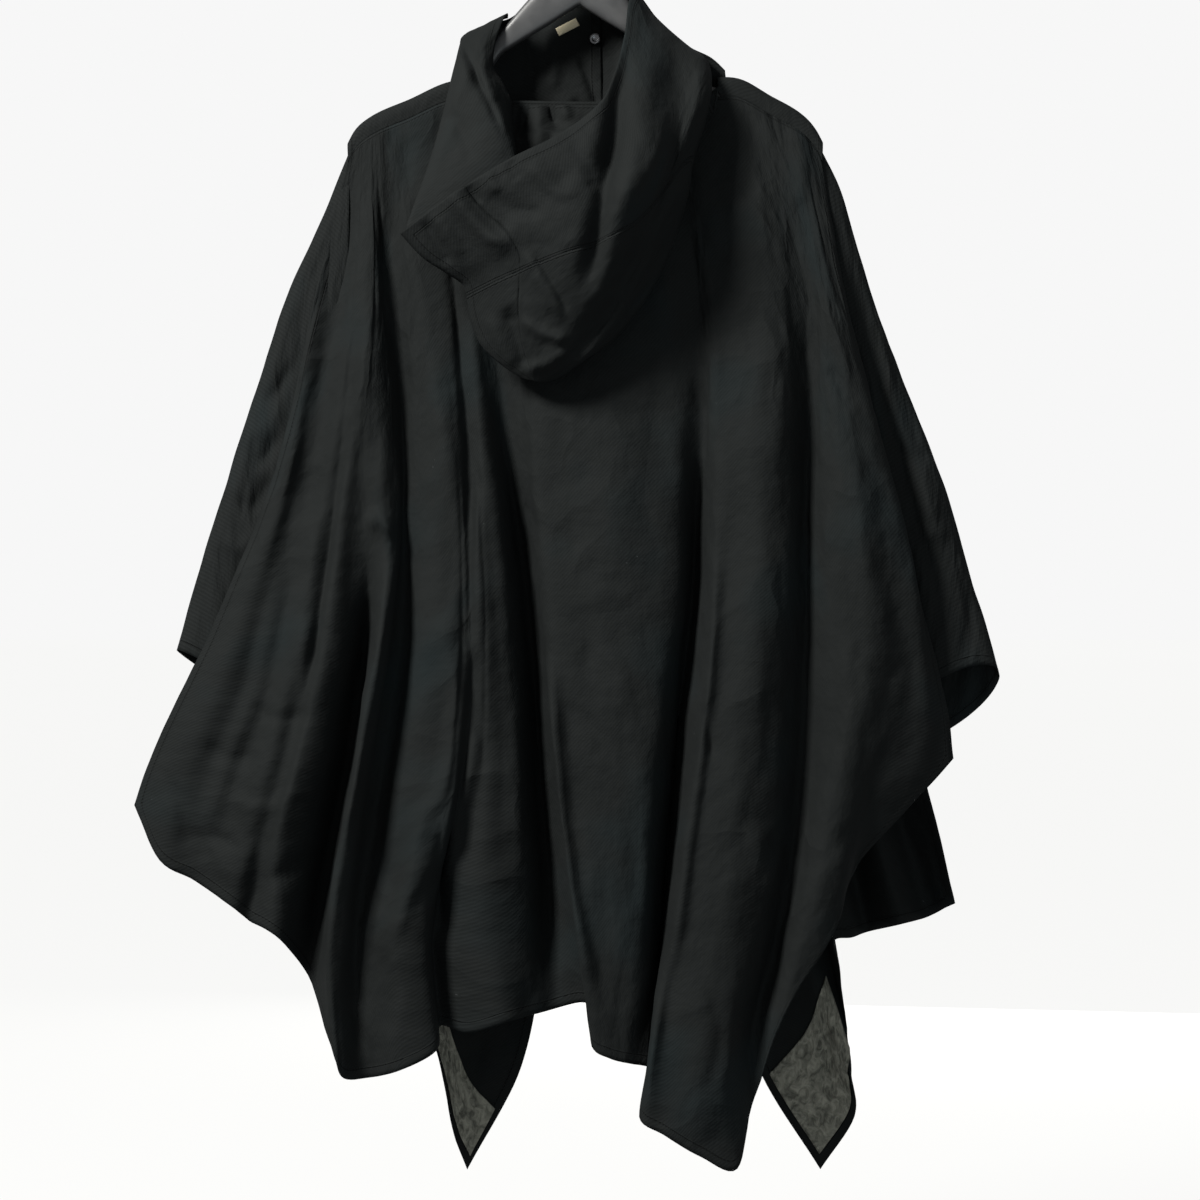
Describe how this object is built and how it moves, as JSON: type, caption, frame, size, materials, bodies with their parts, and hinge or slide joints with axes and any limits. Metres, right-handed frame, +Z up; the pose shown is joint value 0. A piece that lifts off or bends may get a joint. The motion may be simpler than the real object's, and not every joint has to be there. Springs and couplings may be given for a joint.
{
  "type": "hooded cloak coat on a coat hanger",
  "caption": "Wide hooded cloak coat in plain black cloth, hung back outward on a flat coat hanger, with deep folds, a thrown-back hood and open fronts.",
  "frame": {"origin": "inner top of the hanger's hook, where a rail holds it up", "axes": "+Z up, the coat's back towards -Y and its fronts towards +Y, the wearer's left towards -X"},
  "size_m": [0.8221, 0.2096, 1.2324],
  "materials": {
    "black_cloth": "matt black cotton twill with a faint cold sheen",
    "facing_cloth": "crumpled olive grey facing",
    "label_cloth": "pale woven label, blank",
    "hanger_plastic": "satin dark grey",
    "steel": "bright steel"
  },
  "bodies": {
    "root": {"back": "black_cloth", "front_left": "black_cloth", "front_right": "black_cloth", "sleeve_left_back": "black_cloth", "sleeve_left_front": "black_cloth", "sleeve_right_back": "black_cloth", "sleeve_right_front": "black_cloth", "hood_centre_upper": "black_cloth", "hood_centre_lower": "black_cloth", "hood_side": "black_cloth", "hood_crown": "black_cloth", "hood_nape": "black_cloth", "hood_left": "black_cloth", "collar_left": "black_cloth", "collar_right": "black_cloth", "facing_left": "facing_cloth", "facing_right": "facing_cloth", "neck_label": "label_cloth", "stud_collar": "steel", "stud_1": "steel", "stud_2": "steel", "stud_3": "steel", "stud_4": "steel", "hanger": "hanger_plastic", "hanger_hook": "steel"}
  },
  "joints": []
}
